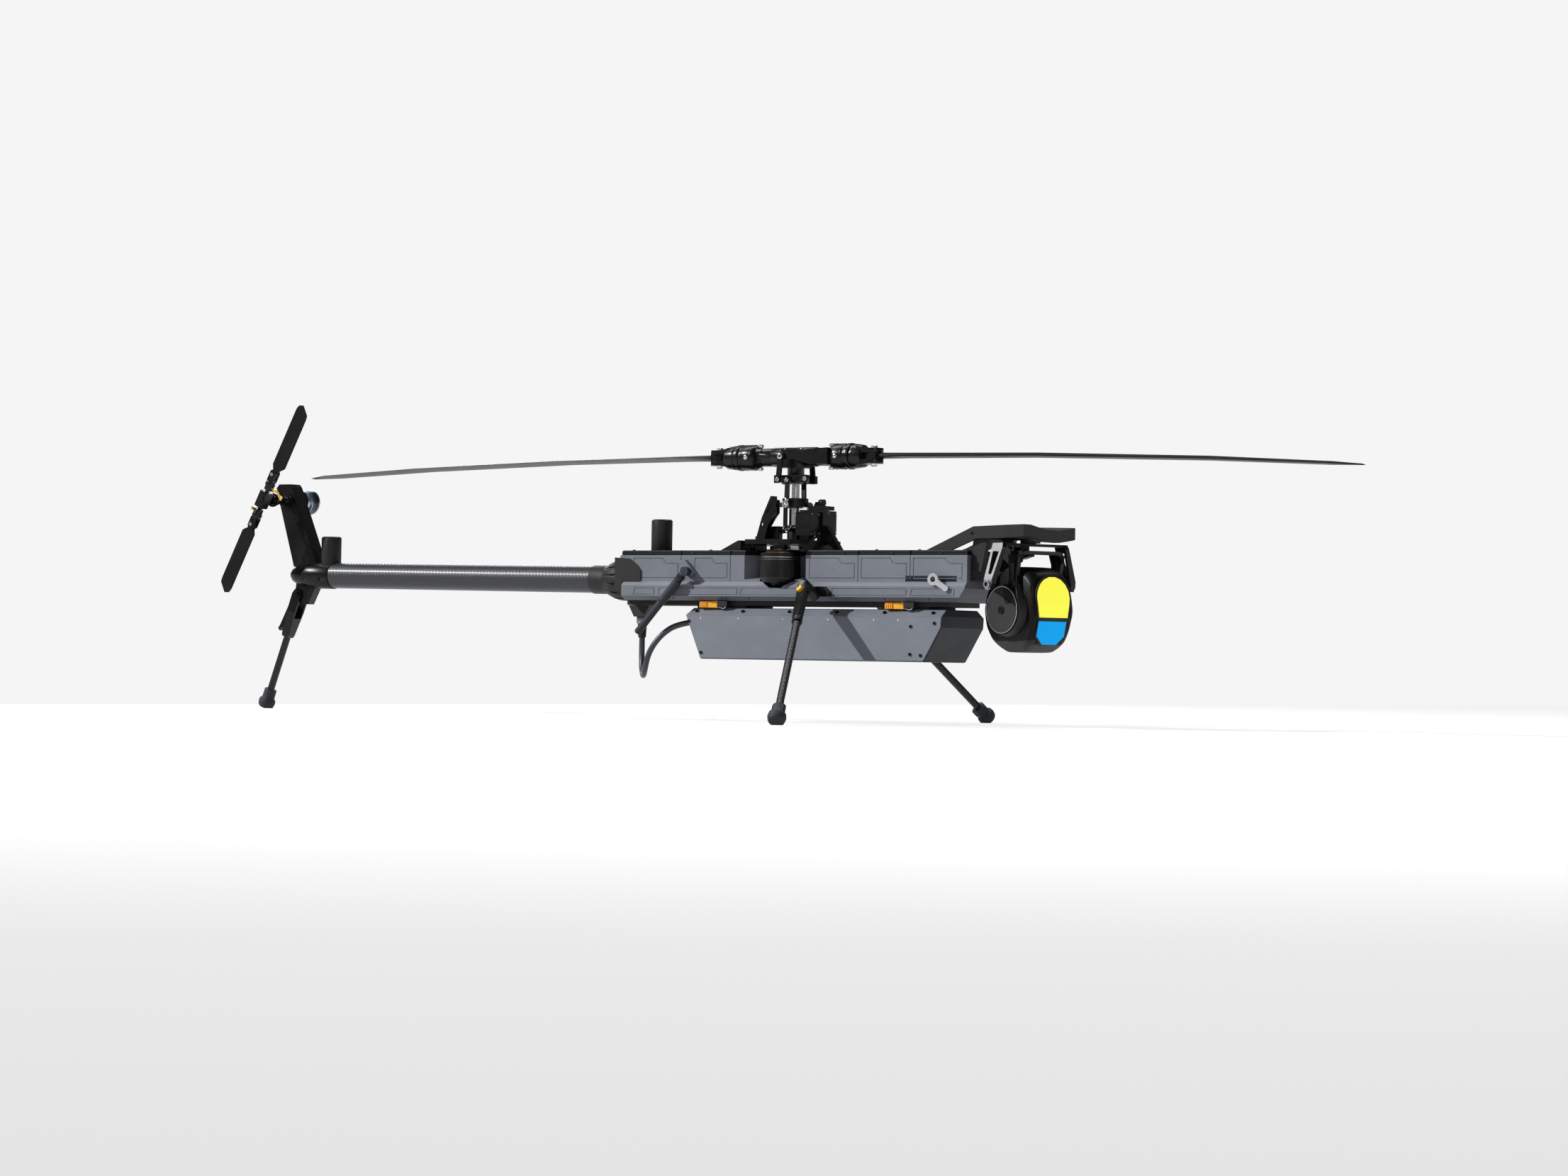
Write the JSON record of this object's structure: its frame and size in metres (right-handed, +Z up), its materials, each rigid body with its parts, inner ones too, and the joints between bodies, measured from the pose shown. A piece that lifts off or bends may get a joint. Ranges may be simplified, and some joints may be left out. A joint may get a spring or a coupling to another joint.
{
  "type": "remote control helicopter",
  "caption": "Single-rotor unmanned helicopter with carbon tail boom, folding legs, slung battery case and a three-axis camera head under the nose",
  "frame": {"origin": "on the ground under the middle of the overall box", "axes": "+X is the nose, +Y is the port side, +Z is up along the mast"},
  "size_m": [2.0064, 0.6544, 0.4992],
  "materials": {
    "grey_panel": "satin grey-blue moulded panel",
    "dark_panel": "dark slate moulded panel",
    "black_plastic": "fine-grained black moulding",
    "black_composite": "black composite with a soft gloss",
    "carbon_weave": "clear-coated woven carbon",
    "black_metal": "black anodised, satin",
    "bright_steel": "plain machined steel",
    "aluminium": "machined aluminium",
    "rubber": "moulded rubber",
    "orange": "orange moulding",
    "yellow_window": "smooth yellow cover",
    "cable_sheath": "soft cable sheath",
    "cell_wrap": "shrink-wrapped cells"
  },
  "bodies": {
    "airframe": {"fuselage_shell": "grey_panel", "top_lid": "black_plastic", "belly_tub": "grey_panel", "hanger_rail": "black_plastic", "boom_collar": "black_plastic", "tail_boom": "carbon_weave", "tail_pylon": "black_composite", "antenna_mounts": "black_plastic", "motor_stators": "black_metal", "leg_brackets": "black_metal", "mechanics_deck": "black_metal", "servos": "black_metal", "cable_ends": "black_plastic", "power_cable": "cable_sheath", "nose_visor": "black_plastic", "battery_case": "grey_panel", "battery_cover": "dark_panel", "cap_screws": "black_metal", "battery_cells": "cell_wrap"},
    "motor_rotor": {"main_motor_bell": "black_metal"},
    "rotor": {"mast": "bright_steel", "rotor_hub": "black_metal"},
    "front_grip_body": {"front_grip": "black_metal"},
    "rear_grip_body": {"rear_grip": "black_metal"},
    "front_blade_body": {"front_blade": "black_composite"},
    "rear_blade_body": {"rear_blade": "black_composite"},
    "swash_turning": {"swashplate_inner": "black_metal", "pitch_links": "black_composite"},
    "swash_still": {"swashplate_outer": "black_metal", "servo_links": "black_metal"},
    "starboard_horn_body": {"starboard_horn": "black_metal"},
    "port_horn_body": {"port_horn": "black_metal"},
    "rear_horn_body": {"rear_horn": "black_metal"},
    "tail_rotor": {"tail_hub": "black_metal", "tail_motor_bell": "aluminium"},
    "tail_slider_body": {"tail_slider": "black_metal"},
    "upper_tail_grip_body": {"upper_tail_grip": "black_metal"},
    "lower_tail_grip_body": {"lower_tail_grip": "black_metal"},
    "upper_tail_blade_body": {"upper_tail_blade": "black_composite"},
    "lower_tail_blade_body": {"lower_tail_blade": "black_composite"},
    "starboard_leg": {"starboard_leg_arm": "black_metal", "starboard_leg_tube": "carbon_weave", "starboard_foot": "rubber"},
    "port_leg": {"port_leg_arm": "black_metal", "port_leg_tube": "carbon_weave", "port_foot": "rubber"},
    "tail_leg": {"tail_leg_arm": "black_metal", "tail_leg_tube": "carbon_weave", "tail_foot": "rubber"},
    "starboard_button_body": {"starboard_leg_button": "orange"},
    "port_button_body": {"port_leg_button": "orange"},
    "tail_lever_body": {"tail_leg_lever": "black_metal"},
    "rear_latch_body": {"rear_latch": "orange"},
    "front_latch_body": {"front_latch": "orange"},
    "release_lever_body": {"release_lever": "aluminium"},
    "whip": {"whip_antenna": "black_composite"},
    "gimbal_frame": {"pan_frame": "black_metal"},
    "gimbal_roll": {"gimbal_yoke": "black_composite"},
    "camera_head": {"camera_ball": "black_composite", "camera_windows": "yellow_window"}
  },
  "joints": [
    {"name": "main_rotor_spin", "type": "hinge", "parent": "airframe", "child": "rotor", "pos_m": [0.06718, 0, 0.4056], "axis": [0, 0, 1], "continuous": true},
    {"name": "main_motor_spin", "type": "hinge", "parent": "airframe", "child": "motor_rotor", "pos_m": [0.07268, -0.0497, 0.24], "axis": [0, 0, 1], "continuous": true},
    {"name": "collective_slide", "type": "slide", "parent": "airframe", "child": "swash_still", "axis": [0, 0, 1], "range_m": [-0.005, 0.005]},
    {"name": "swash_slide", "type": "slide", "parent": "rotor", "child": "swash_turning", "axis": [0, 0, 1], "range_m": [-0.0051, 0.0051]},
    {"name": "front_grip_pitch", "type": "hinge", "parent": "rotor", "child": "front_grip_body", "pos_m": [0.06718, 0, 0.4056], "axis": [1, 0, 0], "range_deg": [-9, 9]},
    {"name": "rear_grip_pitch", "type": "hinge", "parent": "rotor", "child": "rear_grip_body", "pos_m": [0.06718, 0, 0.4056], "axis": [-1, 0, 0], "range_deg": [-9, 9]},
    {"name": "front_blade_fold", "type": "hinge", "parent": "front_grip_body", "child": "front_blade_body", "pos_m": [0.20618, 0, 0.4056], "axis": [0, 0, 1], "range_deg": [-75, 75]},
    {"name": "rear_blade_fold", "type": "hinge", "parent": "rear_grip_body", "child": "rear_blade_body", "pos_m": [-0.07182, 0, 0.4056], "axis": [0, 0, 1], "range_deg": [-75, 75]},
    {"name": "starboard_horn_swing", "type": "hinge", "parent": "airframe", "child": "starboard_horn_body", "pos_m": [0.07738, -0.02, 0.293], "axis": [1, 0, 0], "range_deg": [-20, 20]},
    {"name": "port_horn_swing", "type": "hinge", "parent": "airframe", "child": "port_horn_body", "pos_m": [0.07738, 0.02, 0.293], "axis": [1, 0, 0], "range_deg": [-20, 20]},
    {"name": "rear_horn_swing", "type": "hinge", "parent": "airframe", "child": "rear_horn_body", "pos_m": [0.02748, 0.0227, 0.293], "axis": [0, 1, 0], "range_deg": [-20, 20]},
    {"name": "tail_rotor_spin", "type": "hinge", "parent": "airframe", "child": "tail_rotor", "pos_m": [-0.91682, -0.075, 0.3455], "axis": [0, 1, 0], "continuous": true},
    {"name": "tail_pitch_slide", "type": "slide", "parent": "tail_rotor", "child": "tail_slider_body", "axis": [0, 1, 0], "range_m": [-0.002, 0.002]},
    {"name": "upper_tail_grip_pitch", "type": "hinge", "parent": "tail_rotor", "child": "upper_tail_grip_body", "pos_m": [-0.91682, -0.075, 0.3455], "axis": [0.4664, 0, 0.8846], "range_deg": [-9, 9]},
    {"name": "lower_tail_grip_pitch", "type": "hinge", "parent": "tail_rotor", "child": "lower_tail_grip_body", "pos_m": [-0.91682, -0.075, 0.3455], "axis": [-0.4664, 0, -0.8846], "range_deg": [-9, 9]},
    {"name": "upper_tail_blade_fold", "type": "hinge", "parent": "upper_tail_grip_body", "child": "upper_tail_blade_body", "pos_m": [-0.89537, -0.075, 0.38619], "axis": [0, 1, 0], "range_deg": [-80, 80]},
    {"name": "lower_tail_blade_fold", "type": "hinge", "parent": "lower_tail_grip_body", "child": "lower_tail_blade_body", "pos_m": [-0.93827, -0.075, 0.30481], "axis": [0, 1, 0], "range_deg": [-80, 80]},
    {"name": "starboard_leg_fold", "type": "hinge", "parent": "airframe", "child": "starboard_leg", "pos_m": [0.14218, -0.092, 0.206], "axis": [-0.349, -0.6968, 0.6266], "range_deg": [0, 90]},
    {"name": "port_leg_fold", "type": "hinge", "parent": "airframe", "child": "port_leg", "pos_m": [0.14218, 0.092, 0.206], "axis": [0.349, -0.6968, -0.6266], "range_deg": [0, 90]},
    {"name": "tail_leg_fold", "type": "hinge", "parent": "airframe", "child": "tail_leg", "pos_m": [-0.89582, 0, 0.19], "axis": [0, -1, 0], "range_deg": [0, 80]},
    {"name": "starboard_button_press", "type": "slide", "parent": "starboard_leg", "child": "starboard_button_body", "axis": [0.349, 0.6968, -0.6266], "range_m": [0, 0.0022], "stiffness_N_per_m": 600},
    {"name": "port_button_press", "type": "slide", "parent": "port_leg", "child": "port_button_body", "axis": [0.349, -0.6968, -0.6266], "range_m": [0, 0.0022], "stiffness_N_per_m": 600},
    {"name": "tail_lever_pull", "type": "hinge", "parent": "tail_leg", "child": "tail_lever_body", "pos_m": [-0.91355, 0, 0.17531], "axis": [0, 1, 0], "range_deg": [0, 18], "stiffness_Nm_per_rad": 0.12},
    {"name": "rear_latch_open", "type": "hinge", "parent": "airframe", "child": "rear_latch_body", "pos_m": [-0.04082, -0.0508, 0.178], "axis": [0, 0, 1], "range_deg": [0, 70]},
    {"name": "front_latch_open", "type": "hinge", "parent": "airframe", "child": "front_latch_body", "pos_m": [0.28918, -0.0508, 0.178], "axis": [0, 0, 1], "range_deg": [0, 70]},
    {"name": "release_lever_swing", "type": "hinge", "parent": "airframe", "child": "release_lever_body", "pos_m": [0.37138, -0.0672, 0.2039], "axis": [0, 1, 0], "range_deg": [0, 35]},
    {"name": "whip_swivel", "type": "hinge", "parent": "airframe", "child": "whip", "pos_m": [-0.08482, -0.0734, 0.228], "axis": [0, 1, 0], "range_deg": [-40, 130]},
    {"name": "gimbal_pan", "type": "hinge", "parent": "airframe", "child": "gimbal_frame", "pos_m": [0.47618, 0, 0.173], "axis": [0, 0, 1], "range_deg": [-14, 54]},
    {"name": "gimbal_roll_turn", "type": "hinge", "parent": "gimbal_frame", "child": "gimbal_roll", "pos_m": [0.47618, 0, 0.261], "axis": [0.9336, -0.3584, 0], "range_deg": [-7, 7]},
    {"name": "gimbal_tilt", "type": "hinge", "parent": "gimbal_roll", "child": "camera_head", "pos_m": [0.47618, 0, 0.173], "axis": [0.3584, 0.9336, 0], "range_deg": [-25, 80]}
  ],
  "couplings": [
    {"joint": "main_motor_spin", "follows": "main_rotor_spin", "ratio": -3.2479},
    {"joint": "swash_slide", "follows": "collective_slide", "ratio": 1},
    {"joint": "front_grip_pitch", "follows": "collective_slide", "rad_per_m": -30.303},
    {"joint": "rear_grip_pitch", "follows": "collective_slide", "rad_per_m": -30.303},
    {"joint": "starboard_horn_swing", "follows": "collective_slide", "rad_per_m": -66.667},
    {"joint": "port_horn_swing", "follows": "collective_slide", "rad_per_m": 66.667},
    {"joint": "rear_horn_swing", "follows": "collective_slide", "rad_per_m": -66.667},
    {"joint": "upper_tail_grip_pitch", "follows": "tail_pitch_slide", "rad_per_m": 75},
    {"joint": "lower_tail_grip_pitch", "follows": "tail_pitch_slide", "rad_per_m": 75}
  ]
}
